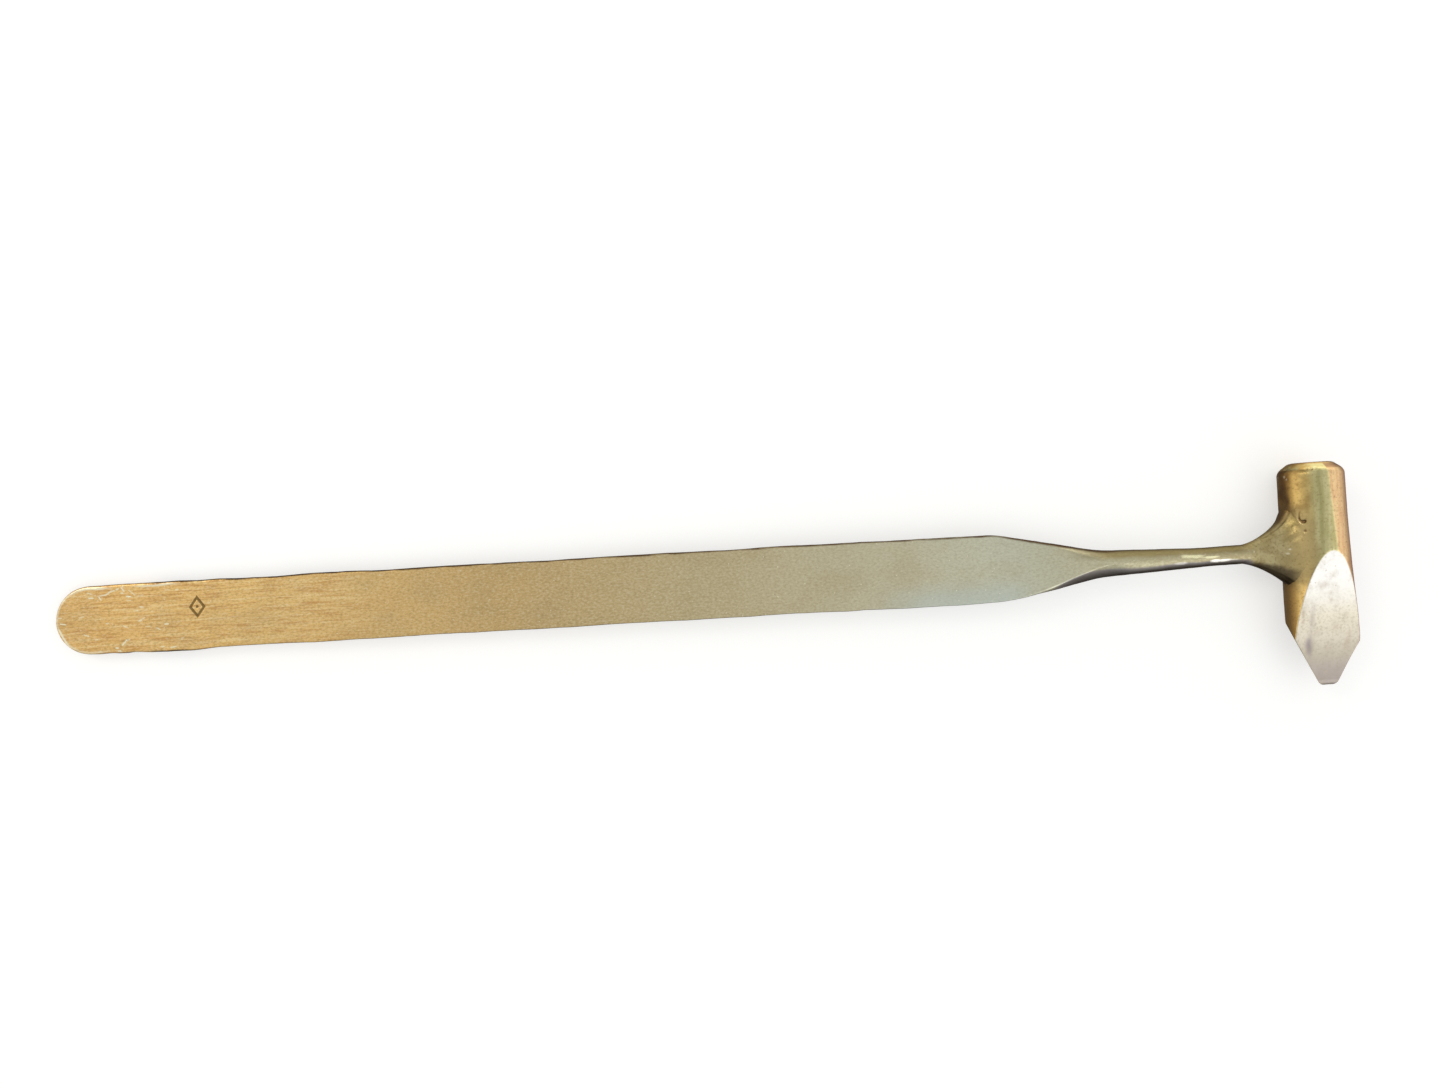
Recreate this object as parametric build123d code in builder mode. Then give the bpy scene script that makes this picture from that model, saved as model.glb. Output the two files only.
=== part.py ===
"""Small all-brass hammer: flat strip handle, round neck, and a short straight-peen head.

The handle runs along X with the head at its +X end. The striking face looks along +Y and the
peen along -Y. +Z is the normal of the flat grip. The origin is under the middle of the whole
hammer, level with the lowest line of the head.
"""

from build123d import *
import os

os.makedirs("parts", exist_ok=True)

# Overall reach, from the axis of the head and the centreline of the handle
HANDLE_LENGTH = 237.5
HEAD_SIDE_REACH = 7.0
FACE_REACH = 16.6
PEEN_REACH = 25.5

# Head
HEAD_RADIUS = 5.6
RIM_CHAMFER = 1.4
RIM_SOFTENING = 0.5
SPREAD_START = 15.0
SPREAD_END = -27.0
SPREAD_SECTIONS = 6
SPREAD_RATE = 0.0016

# Peen: two ground facets that meet near the axis, and two side bevels, the near one leaning under
FACET_TOP = 0.3
FACET_SLOPE = 0.262
FACET_BEND = -12.0
PEEN_TIP_HALF_THICKNESS = 0.5
NEAR_BEVEL_END = (-0.8, -24.37)
NEAR_BEVEL_NORMAL = (-0.82, -0.4, -0.41)
NEAR_CLEARANCE = (-8.6, -12.3)
FAR_BEVEL_START = (HEAD_SIDE_REACH, -16.9)
FAR_BEVEL_END = (2.4, -24.95)
TIP_POINT = (1.0, -PEEN_REACH)
FAR_CORNER_RADIUS = 1.5

# Grip strip
GRIP_WIDTH = 12.7
GRIP_THICKNESS = 2.0
GRIP_EDGE_RADIUS = 0.6
SHOULDER_START = -63.0

# Shoulder and neck, drawn down from the strip to a slender round
SHOULDER_LENGTH = 26.0
NECK_ROOT_WIDTH = 4.7
NECK_WAIST_WIDTH = 3.45
NECK_TAPER_LENGTH = 19.0
NECK_END = -5.6
NECK_SECTION_COUNT = 12
ROUND_SHARE = 0.49

# Tenon and its blind bore
TENON_RADIUS = 1.6
TENON_END = 1.6
BORE_END = 2.0

# Flared brazing metal between neck and head
FLARE_START = -14.2
FLARE_END = -2.2
FLARE_SECTIONS = 7
FLARE_LIP = 0.15
FLARE_POWER = 1.5
FLARE_TALL = 0.19
FLARE_DEEP = 0.075

# Places in the row frame
HEAD_X = (HANDLE_LENGTH - HEAD_SIDE_REACH) / 2
HANDLE_Y = (PEEN_REACH - FACE_REACH) / 2
AXIS_Z = HEAD_RADIUS
NECK_RADIUS = NECK_WAIST_WIDTH / 2
CUT_MARGIN = 3.0


def across_handle(distance):
    """Plane square to the handle, at a distance from the head's axis."""
    return Plane(origin=(HEAD_X + distance, HANDLE_Y, AXIS_Z), x_dir=(0, 1, 0), z_dir=(1, 0, 0))


def across_head(distance, sideways=0.0):
    """Plane square to the head, at a distance from the handle's centreline."""
    return Plane(
        origin=(HEAD_X + sideways, HANDLE_Y + distance, AXIS_Z), x_dir=(1, 0, 0), z_dir=(0, 1, 0)
    )


def side_spread(distance):
    """How far the head's far side has spread beyond its radius at one section."""
    return SPREAD_RATE * max(SPREAD_START - distance, 0) ** 2


def neck_section(distance):
    """Width, thickness and corner radius of the forged bar between grip and head."""
    along = min(max((distance - SHOULDER_START) / SHOULDER_LENGTH, 0), 1)
    drawn = along**2 * (3 - 2 * along)
    taper = (distance - SHOULDER_START - SHOULDER_LENGTH) / NECK_TAPER_LENGTH
    neck = NECK_ROOT_WIDTH + (NECK_WAIST_WIDTH - NECK_ROOT_WIDTH) * min(max(taper, 0), 1)
    width = GRIP_WIDTH + (neck - GRIP_WIDTH) * drawn
    thickness = GRIP_THICKNESS + (neck - GRIP_THICKNESS) * drawn
    corner = GRIP_EDGE_RADIUS + (ROUND_SHARE * neck - GRIP_EDGE_RADIUS) * drawn
    return width, thickness, corner


head_plan = Plane(origin=(HEAD_X, HANDLE_Y, AXIS_Z))
head_side = Plane(origin=(HEAD_X, HANDLE_Y, AXIS_Z), x_dir=(0, 1, 0), z_dir=(1, 0, 0))

# Metal ground away from both sides of the peen, after the head was brazed on
with BuildPart() as facet_waste:
    top_height = HEAD_RADIUS + (CUT_MARGIN - FACET_TOP) * FACET_SLOPE
    bend_height = HEAD_RADIUS - (FACET_TOP - FACET_BEND) * FACET_SLOPE
    waste_height = HEAD_RADIUS + CUT_MARGIN
    waste_end = -PEEN_REACH - CUT_MARGIN
    for side in (1, -1):
        tip = (-PEEN_REACH, side * PEEN_TIP_HALF_THICKNESS)
        with BuildSketch(head_side):
            with BuildLine():
                flat = Line((CUT_MARGIN, side * top_height), (FACET_BEND, side * bend_height))
                TangentArc(flat @ 1, tip, tangent=flat % 1)
                Polyline(
                    tip,
                    (waste_end, side * PEEN_TIP_HALF_THICKNESS),
                    (waste_end, side * waste_height),
                    (CUT_MARGIN, side * waste_height),
                    flat @ 0,
                )
            make_face()
        extrude(amount=2 * HEAD_RADIUS, both=True)

# Head: a round bar that spreads towards the peen, dressed by facets and bevels, with a blind bore
with BuildPart() as head:
    spread_step = (SPREAD_START - SPREAD_END) / (SPREAD_SECTIONS - 1)
    stations = [FACE_REACH] + [SPREAD_START - i * spread_step for i in range(SPREAD_SECTIONS)]
    for station in stations:
        spread = side_spread(station)
        with BuildSketch(across_head(station, spread / 2)):
            Ellipse(HEAD_RADIUS + spread / 2, HEAD_RADIUS)
    loft()
    rim = head.faces().sort_by(Axis.Y)[-1].edges()
    chamfer(rim, length=RIM_CHAMFER)
    rim_edges = head.edges().filter_by(GeomType.LINE, reverse=True).group_by(Axis.Y)[-2:]
    fillet(rim_edges[0] + rim_edges[1], radius=RIM_SOFTENING)

    add(facet_waste.part, mode=Mode.SUBTRACT)

    with BuildSketch(head_plan):
        with BuildLine():
            Polyline(
                NEAR_BEVEL_END,
                NEAR_CLEARANCE,
                (NEAR_CLEARANCE[0], FACE_REACH + CUT_MARGIN),
                (HEAD_SIDE_REACH, FACE_REACH + CUT_MARGIN),
                FAR_BEVEL_START,
                FAR_BEVEL_END,
            )
            ThreePointArc(FAR_BEVEL_END, TIP_POINT, NEAR_BEVEL_END)
        outline = make_face()
        corner = outline.vertices().sort_by_distance(head_plan.from_local_coords(FAR_BEVEL_START))[0]
        fillet(corner, radius=FAR_CORNER_RADIUS)
    extrude(amount=2 * HEAD_RADIUS, both=True, mode=Mode.INTERSECT)
    near_bevel = Plane(
        origin=head_plan.from_local_coords((*NEAR_BEVEL_END, 0)), z_dir=NEAR_BEVEL_NORMAL
    )
    split(bisect_by=near_bevel, keep=Keep.BOTTOM)

    with BuildSketch(across_handle(-HEAD_RADIUS - CUT_MARGIN)):
        Circle(TENON_RADIUS)
    extrude(amount=BORE_END + HEAD_RADIUS + CUT_MARGIN, mode=Mode.SUBTRACT)
head.part.label = "head"

# Handle: one forged bar, flat in the hand, drawn down to a round neck with a turned tenon
with BuildPart() as handle:
    grip_end = -HANDLE_LENGTH + GRIP_WIDTH / 2
    with BuildSketch(head_plan.offset(-GRIP_THICKNESS / 2)):
        with BuildLine():
            Line((SHOULDER_START, -GRIP_WIDTH / 2), (SHOULDER_START, GRIP_WIDTH / 2))
            Line((SHOULDER_START, GRIP_WIDTH / 2), (grip_end, GRIP_WIDTH / 2))
            ThreePointArc(
                (grip_end, GRIP_WIDTH / 2), (-HANDLE_LENGTH, 0), (grip_end, -GRIP_WIDTH / 2)
            )
            Line((grip_end, -GRIP_WIDTH / 2), (SHOULDER_START, -GRIP_WIDTH / 2))
        make_face()
    extrude(amount=GRIP_THICKNESS)
    broad_faces = handle.faces().filter_by(Axis.Z)
    broad_edges = broad_faces[0].edges() + broad_faces[1].edges()
    grip_edges = broad_edges.filter_by(lambda edge: edge.center().X < HEAD_X + SHOULDER_START - 1)
    fillet(grip_edges, radius=GRIP_EDGE_RADIUS)

    neck_step = (NECK_END - SHOULDER_START) / (NECK_SECTION_COUNT - 1)
    for i in range(NECK_SECTION_COUNT):
        station = SHOULDER_START + i * neck_step
        with BuildSketch(across_handle(station)):
            RectangleRounded(*neck_section(station))
    loft()

    with BuildSketch(across_handle(NECK_END)):
        Circle(TENON_RADIUS)
    extrude(amount=TENON_END - NECK_END)
handle.part.label = "handle"

# Brazing metal: a flare that grows from the neck and wraps the near side of the head, ground
# with the peen's facets
with BuildPart() as braze_fillet:
    flare_step = (FLARE_END - FLARE_START) / (FLARE_SECTIONS - 1)
    for i in range(FLARE_SECTIONS):
        growth = (i * flare_step) ** FLARE_POWER
        start_radius = NECK_RADIUS + FLARE_LIP
        with BuildSketch(across_handle(FLARE_START + i * flare_step)):
            Ellipse(start_radius + FLARE_TALL * growth, start_radius + FLARE_DEEP * growth)
    loft()
    add(facet_waste.part, mode=Mode.SUBTRACT)
    add(handle.part, mode=Mode.SUBTRACT)
    add(head.part, mode=Mode.SUBTRACT)
braze_fillet.part.label = "braze_fillet"

export_step(handle.part, "parts/handle.step")
export_step(head.part, "parts/head.step")
export_step(braze_fillet.part, "parts/braze_fillet.step")
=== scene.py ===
"""Small brass hammer: finished meshes, materials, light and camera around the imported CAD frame."""

import math

import bpy
import mathutils
import numpy as np
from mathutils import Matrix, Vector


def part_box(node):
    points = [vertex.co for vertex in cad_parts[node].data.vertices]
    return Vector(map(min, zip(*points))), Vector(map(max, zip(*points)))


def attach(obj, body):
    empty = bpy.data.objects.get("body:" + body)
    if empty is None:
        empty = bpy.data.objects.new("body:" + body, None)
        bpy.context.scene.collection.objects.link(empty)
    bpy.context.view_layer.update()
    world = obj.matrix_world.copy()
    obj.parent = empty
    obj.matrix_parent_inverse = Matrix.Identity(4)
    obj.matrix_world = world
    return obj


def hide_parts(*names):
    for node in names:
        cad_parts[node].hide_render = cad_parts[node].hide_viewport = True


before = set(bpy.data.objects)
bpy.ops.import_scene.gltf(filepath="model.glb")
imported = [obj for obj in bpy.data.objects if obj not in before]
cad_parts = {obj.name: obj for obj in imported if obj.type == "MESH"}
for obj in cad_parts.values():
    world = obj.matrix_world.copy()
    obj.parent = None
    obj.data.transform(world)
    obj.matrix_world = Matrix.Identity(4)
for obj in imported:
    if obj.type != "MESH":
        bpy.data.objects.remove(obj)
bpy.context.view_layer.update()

MM = 0.001

# ---- Places and sizes, read from the frame ----
# Shapes below are in millimetres about the point where the handle's centreline meets the head's axis.
head_low, head_high = [np.array(corner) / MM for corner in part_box("head")]
handle_low, handle_high = [np.array(corner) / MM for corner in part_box("handle")]

HEAD_RADIUS = (head_high[2] - head_low[2]) / 2
CROSSING = np.array([
    head_low[0] + HEAD_RADIUS,
    (handle_low[1] + handle_high[1]) / 2,
    head_low[2] + HEAD_RADIUS,
])
HANDLE_LENGTH = CROSSING[0] - handle_low[0]
FACE_REACH = head_high[1] - CROSSING[1]
PEEN_REACH = CROSSING[1] - head_low[1]
SIDE_REACH = head_high[0] - CROSSING[0]


# ---- Small numeric helpers ----
def smooth(value, low, high):
    """0 below low, 1 above high, eased between."""
    t = np.clip((np.asarray(value, float) - low) / (high - low), 0, 1)
    return t * t * (3 - 2 * t)


def hashed(cells, seed):
    """A repeatable number from -1 to 1 for each integer lattice cell."""
    mixed = np.full(cells.shape[:-1], seed * 7919 + 17, np.uint64)
    for axis, prime in enumerate((73856093, 19349663, 83492791)):
        stepped = (cells[..., axis].astype(np.int64) * prime).astype(np.uint64)
        mixed = mixed * np.uint64(1099511628211) ^ stepped
        mixed ^= mixed >> np.uint64(29)
    return (mixed >> np.uint64(11)).astype(float) / 2**52 - 1


def value_noise(points, size, seed):
    """Smooth noise from -1 to 1 with features of about that size."""
    scaled = np.asarray(points, float) / size
    base = np.floor(scaled)
    part = scaled - base
    part = part * part * (3 - 2 * part)
    total = 0.0
    for corner in np.ndindex(2, 2, 2):
        offset = np.array(corner)
        weight = np.prod(np.where(offset, part, 1 - part), axis=-1)
        total = total + weight * hashed(base + offset, seed)
    return total


def line_noise(along, size, seed):
    """Smooth noise from -1 to 1 along one axis."""
    along = np.asarray(along, float)
    points = np.stack([along, np.zeros_like(along), np.zeros_like(along)], axis=-1)
    return value_noise(points, size, seed)


def soft_min(a, b, width):
    """The smaller of two lengths, with the corner between them eased over width."""
    near = np.clip(width - np.abs(a - b), 0, None) / width
    return np.minimum(a, b) - near**2 * width / 4


def even_ring(curve, count):
    """Points at equal steps round a closed curve; columns after the first two ride along."""
    closed = np.vstack([curve, curve[:1]])
    steps = np.r_[0, np.cumsum(np.linalg.norm(np.diff(closed[:, :2], axis=0), axis=1))]
    wanted = np.linspace(0, steps[-1], count, endpoint=False)
    return np.stack([np.interp(wanted, steps, closed[:, i]) for i in range(closed.shape[1])], axis=1)


# ---- Meshes from rings ----
def ring_normals(rings):
    """Outward directions on a grid of rings, for moving points in and out."""
    around = np.roll(rings, -1, axis=1) - np.roll(rings, 1, axis=1)
    along = np.gradient(rings, axis=0)
    normal = np.cross(along, around)
    normal /= np.linalg.norm(normal, axis=2, keepdims=True) + 1e-12
    outward = rings - rings.mean(axis=1, keepdims=True)
    sign = np.sign((normal * outward).sum(axis=(1, 2)).mean() or 1)
    return normal * sign


def ring_piece(name, rings, first_cap, last_cap, material, marks=None):
    """A closed mesh through the rings, with a point closing each end. Lengths are in mm."""
    count, around = rings.shape[:2]
    points = np.vstack([rings.reshape(-1, 3), first_cap, last_cap])
    index = np.arange(count * around).reshape(count, around)
    following = np.roll(index, -1, axis=1)
    quads = np.stack([index[:-1], following[:-1], following[1:], index[1:]], axis=-1).reshape(-1, 4)
    first, last = count * around, count * around + 1
    start_fan = np.stack([np.full(around, first), following[0], index[0]], axis=-1)
    end_fan = np.stack([np.full(around, last), index[-1], following[-1]], axis=-1)
    volume = np.einsum(
        "ij,ij->i", points[quads[:, 0]], np.cross(points[quads[:, 1]], points[quads[:, 2]])
    ).sum()
    faces = quads.tolist() + start_fan.tolist() + end_fan.tolist()
    if volume < 0:
        faces = [face[::-1] for face in faces]
    mesh = bpy.data.meshes.new(name)
    mesh.from_pydata(((points + CROSSING) * MM).tolist(), [], faces)
    mesh.polygons.foreach_set("use_smooth", [True] * len(mesh.polygons))
    for mark, values in (marks or {}).items():
        layer = mesh.attributes.new(mark, "FLOAT", "POINT")
        layer.data.foreach_set("value", np.r_[values.ravel(), values.ravel()[0], values.ravel()[-1]])
    mesh.validate()
    mesh.update()
    mesh.materials.append(material)
    piece = bpy.data.objects.new(name, mesh)
    bpy.context.scene.collection.objects.link(piece)
    return piece


# ---- Handle ----
GRIP_HALF_WIDTH = 6.35
GRIP_HALF_THICKNESS = 1.0
SHOULDER_START, SHOULDER_END = -63.0, -37.0
NECK_ROOT, NECK_WAIST = 2.35, 1.72
NECK_WAIST_AT = -18.0
NECK_SAG = 0.32
NOT_NEAR = 9.0
HANDLE_RING = 216
MARK_AT = (-210.8, 1.4)
MARK_HALF = (1.3, 1.75)
MARK_STROKE = 0.31
MARK_DEPTH = 0.2


def handle_shape(x):
    """Centre offset, half width and half thickness of the forged bar at x."""
    drawn = smooth(x, SHOULDER_START, SHOULDER_END)
    neck = NECK_ROOT + (NECK_WAIST - NECK_ROOT) * smooth(x, SHOULDER_END - 3, NECK_WAIST_AT)
    half_width = GRIP_HALF_WIDTH + (neck - GRIP_HALF_WIDTH) * drawn
    half_thickness = GRIP_HALF_THICKNESS + (neck - GRIP_HALF_THICKNESS) * drawn
    centre = -NECK_SAG * smooth(x, -62, -56) * (1 - smooth(x, -38, -8))
    return centre, half_width, half_thickness


def edge_wander(x, seed):
    """How far a forged and filed edge strays from straight, in mm."""
    return (
        0.10 * line_noise(x, 11.0, seed)
        + 0.05 * line_noise(x, 3.7, seed + 1)
        + 0.02 * line_noise(x, 1.1, seed + 2)
    )


def swelling(x, middle, reach, height):
    """A local bulge of an edge, such as a rolled burr."""
    return height * np.exp(-((x - middle) / reach) ** 4)


def edge_profile(inward, reach, flatness):
    """Rise of the surface from the edge to the broad face: 0 at the edge, 1 from reach inwards."""
    t = np.clip(inward / reach, 0, 1)
    return (1 - flatness) * np.sqrt(1 - (1 - t) ** 2) + flatness * t


def lower_reach(x):
    """Width of the eased band along the lower edge, which opens into the shoulder's slope."""
    return 0.16 + 2.29 * smooth(x, -56, -37)


def handle_section(x):
    """One section of the handle as a closed curve, in the plane x."""
    centre, half_width, half_thickness = handle_shape(x)
    calm = 1 - 0.55 * smooth(x, -40, -30)
    upper = half_width + 0.03 + calm * edge_wander(x, 3)
    lower = half_width + 0.09 + calm * edge_wander(x, 13)
    lower += swelling(x, -216.0, 6.5, 0.30) + swelling(x, -225.0, 1.6, 0.14)
    lower += swelling(x, -71.0, 7.0, 0.10) - swelling(x, -54.5, 4.0, 0.16)
    upper += swelling(x, -186.0, 7.0, 0.10) + swelling(x, -52.0, 9.0, 0.09)
    end_centre = -HANDLE_LENGTH + GRIP_HALF_WIDTH
    into_end = max(end_centre - x, 0)
    if into_end > 0:
        chord = math.sqrt(max(GRIP_HALF_WIDTH**2 - into_end**2, 0))
        upper *= chord / GRIP_HALF_WIDTH
        lower *= chord / GRIP_HALF_WIDTH
    turn = np.linspace(-math.pi / 2, math.pi / 2, 361)
    side = np.sin(turn)
    y = np.where(side > 0, side * upper, side * lower)
    if into_end > 0:
        half_chord = math.sqrt(GRIP_HALF_WIDTH**2 - into_end**2)
        inward = GRIP_HALF_WIDTH - np.hypot(into_end, np.abs(side) * half_chord)
    else:
        inward = np.where(side > 0, upper - y, lower + y)
    # A crisp slope opens on the lower side of the shoulder, and a softer one on the upper side
    slope_low = smooth(x, -53.5, -49) * (1 - smooth(x, -40, -34))
    reach_low = min(lower_reach(x), half_width)
    reach_high = min(0.40 + 1.95 * float(smooth(x, -54, -35)), half_width)
    rise_low = edge_profile(inward, reach_low, 0.7 * slope_low)
    rise_high = edge_profile(inward, reach_high, 0.30 * slope_low)
    rise = np.where(side > 0, rise_high, rise_low)
    blunt = (half_thickness - 0.42) * (1 - smooth(x, -57, -40))
    z = blunt + (half_thickness - blunt) * rise
    from_upper = np.where(side > 0, inward, NOT_NEAR)
    from_lower = np.where(side > 0, NOT_NEAR, inward)
    top = np.stack([y + centre, z, from_upper, from_lower], axis=1)[::-1]
    bottom = np.stack([y + centre, -z, from_upper, from_lower], axis=1)
    return even_ring(np.vstack([top, bottom]), HANDLE_RING)


def handle_stations():
    """Where the handle's rings stand: closer at the end, the mark, the shoulder and the neck."""
    turn = np.linspace(0.035, 1, 38) * math.pi / 2
    end = -HANDLE_LENGTH + GRIP_HALF_WIDTH * (1 - np.cos(turn))
    mark_start, mark_stop = MARK_AT[0] - 1.9, MARK_AT[0] + 1.9
    before = np.arange(end[-1] + 0.2, mark_start, 0.2)
    mark = np.arange(mark_start, mark_stop, 0.095)
    grip = np.arange(mark_stop + 0.3, SHOULDER_START - 2, 1.6)
    neck = np.arange(SHOULDER_START - 2 + 0.4, -2.0, 0.5)
    return np.concatenate([end, before, mark, grip, neck])


def punched_mark(x, y):
    """Depth of the mark: a plain lozenge with a dot in it."""
    across, up = (x - MARK_AT[0]) / MARK_HALF[0], (y - MARK_AT[1]) / MARK_HALF[1]
    off_line = np.abs(np.abs(across) + np.abs(up) - 1) * 0.95
    off_dot = np.hypot(x - MARK_AT[0], y - MARK_AT[1])
    line = 1 - smooth(off_line, MARK_STROKE * 0.45, MARK_STROKE)
    dot = 1 - smooth(off_dot, 0.18, 0.38)
    return np.maximum(line, dot) * MARK_DEPTH


SCRATCHES = (
    # x, y, angle in degrees, length, strength
    (-230.6, 4.1, 0, 0.8, 0.9),
    (-230.8, 5.0, -20, 0.8, 0.6),
    (-228.4, 4.5, 5, 0.9, 0.8),
    (-228.9, 4.0, -60, 0.6, 0.9),
    (-227.2, 4.9, 32, 1.2, 0.9),
    (-226.3, 5.25, 10, 0.4, 0.8),
    (-225.5, 5.55, 20, 0.4, 0.9),
    (-224.5, 5.4, -55, 0.7, 0.9),
    (-224.6, 5.9, 50, 0.5, 0.8),
    (-224.7, 4.75, 0, 0.3, 0.8),
    (-223.5, 4.05, -8, 0.7, 1.0),
    (-223.4, 3.3, 0, 0.6, 0.5),
    (-222.8, 4.7, -43, 1.4, 0.5),
    (-221.3, 4.1, 10, 1.0, 0.4),
    (-221.2, 1.95, -10, 0.5, 0.8),
    (-222.1, 1.3, 0, 0.3, 0.6),
    (-221.6, -0.6, 20, 0.5, 0.9),
    (-221.0, -0.25, 35, 0.5, 0.5),
    (-216.6, -1.5, 5, 0.6, 0.9),
    (-218.2, -2.3, -30, 0.6, 0.6),
    (-220.1, -1.8, 0, 0.8, 0.45),
    (-224.4, -1.6, -25, 0.9, 0.5),
    (-227.8, -0.8, 0, 0.4, 0.6),
    (-232.5, 0.65, 18, 0.9, 0.5),
    (-231.8, -2.85, -18, 1.0, 0.7),
    (-229.9, -3.75, 10, 0.5, 0.45),
    (-224.7, -4.55, 47, 1.3, 1.0),
    (-224.1, -4.1, 15, 0.7, 0.5),
    (-226.2, -5.5, 0, 0.4, 1.0),
    (-225.7, -6.1, 0, 0.5, 1.0),
    (-217.6, -5.7, 0, 0.5, 0.7),
    (-215.6, -5.9, 8, 0.9, 0.7),
    (-213.9, -4.4, 60, 0.4, 0.6),
    (-214.4, 4.8, 20, 0.4, 0.7),
    (-216.2, 4.9, 0, 0.7, 0.4),
    (-235.9, 3.9, 20, 0.6, 1.0),
    (-236.6, 0.7, 0, 0.5, 0.5),
    (-236.1, -0.5, -10, 0.9, 0.8),
    (-235.4, -4.4, -50, 1.0, 0.8),
)
SCRATCH_HALF_WIDTH = 0.17


def scratched(x, y):
    """Bright scratches on the worn end of the grip."""
    mark = np.zeros_like(x)
    for x0, y0, angle, length, strength in SCRATCHES:
        cos, sin = math.cos(math.radians(angle)), math.sin(math.radians(angle))
        along = (x - x0) * cos + (y - y0) * sin
        across = (y - y0) * cos - (x - x0) * sin
        off = np.hypot(np.clip(np.abs(along) - length / 2, 0, None), across)
        mark = np.maximum(mark, strength * (1 - smooth(off, 0.3 * SCRATCH_HALF_WIDTH, SCRATCH_HALF_WIDTH)))
    return mark


def painted_neck_highlights(rings):
    """Painted highlights in two streaks along the neck, a gold one and a white one."""
    x, y, z = rings[..., 0], rings[..., 1], rings[..., 2]
    lean = np.degrees(np.arctan2(y + NECK_SAG, np.abs(z)))
    ragged = 0.8 * value_noise(rings * [0.6, 2.2, 2.2], 1.0, 25) + 0.5 * value_noise(rings, 0.5, 26)

    def streak(x0, lean0, half_length, half_width):
        reach = np.hypot((x - x0) / half_length, (lean - lean0) / half_width)
        return 1 - smooth(reach + 0.45 * ragged, 0.45, 1.05)

    gold = np.maximum(streak(-23.4, 15, 3.0, 13), streak(-20.6, 6, 2.4, 9))
    white = np.maximum(streak(-18.4, -20, 2.2, 11), 0.35 * streak(-26.3, -22, 1.6, 9))
    return gold, white * (z > 0)


def neck_tones(rings):
    """Where the drawn neck is browner along its upper side, and where painted shade greys it along its
    lower side.
    """
    x, y, z = rings[..., 0], rings[..., 1], rings[..., 2]
    lean = np.degrees(np.arctan2(y + NECK_SAG, np.abs(z))) + 4 * value_noise(rings, 2.5, 29)
    leaving = 1 - smooth(x, -15.5, -11)
    brown = smooth(lean, 12, 40) * smooth(x, -49, -38) * leaving
    grey = smooth(-lean, 8, 74 - 22 * smooth(x, -36, -26)) * smooth(x, -52, -44) * leaving
    return brown, grey


def edge_marks(rings, from_upper, from_lower):
    """Dark oxide with painted shade along the two long edges, and painted highlights on the shoulder's
    crease, an upper edge bead and the rim of the end.
    """
    x, z = rings[..., 0], rings[..., 2]
    drift = 0.12 * value_noise(rings, 3.0, 27) + 0.06 * value_noise(rings, 0.9, 28)
    in_shoulder = smooth(x, -64, -46) * (1 - smooth(x, -42, -33))
    on_neck = smooth(x, -44, -34)
    reach = 0.40 + 0.30 * in_shoulder - 0.10 * on_neck + drift
    # Dark oxide with painted shade along the upper edge, less of it on the neck
    dark_upper = (1 - smooth(from_upper, 0.35 * reach, reach)) * smooth(x, -221, -216.5)
    dark_upper = dark_upper * (1 - 0.45 * on_neck)
    # Along the lower edge: dark oxide at two burrs, and painted shade along the neck
    burrs = swelling(x, -215.6, 4.8, 1.0) + swelling(x, -224.8, 1.5, 0.8)
    low_reach = 0.34 + drift
    dark_lower = 1 - smooth(from_lower, 0.35 * low_reach, low_reach)
    dark_lower = dark_lower * np.clip(burrs + 0.8 * on_neck, 0, 1)
    # A painted highlight along the shoulder's crease
    crease = np.exp(-(((from_lower - lower_reach(x) - drift) / 0.16) ** 2)) * (z > 0)
    crease = 0.8 * crease * smooth(x, -52.5, -49.5) * (1 - smooth(x, -45, -41.5))
    # A painted highlight on a bead along the upper edge, near the end
    bead = np.maximum(swelling(x, -218.3, 3.9, 1.0), swelling(x, -230.4, 3.3, 1.0))
    bead = bead * np.exp(-(((from_upper - 0.56 - 0.8 * drift) / 0.15) ** 2)) * (z > 0)
    # A painted highlight round the rim of the rounded end
    rounded = smooth(-x, 226.5, 230.5)
    edge = np.minimum(from_upper, from_lower)
    end_rim = np.exp(-(((edge - 0.42 - drift) / 0.20) ** 2)) * rounded
    bright_marks = np.maximum.reduce([bead, crease, end_rim * (0.45 + 0.55 * smooth(drift, -0.06, 0.05))])
    return np.maximum(dark_upper, dark_lower), bright_marks


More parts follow.
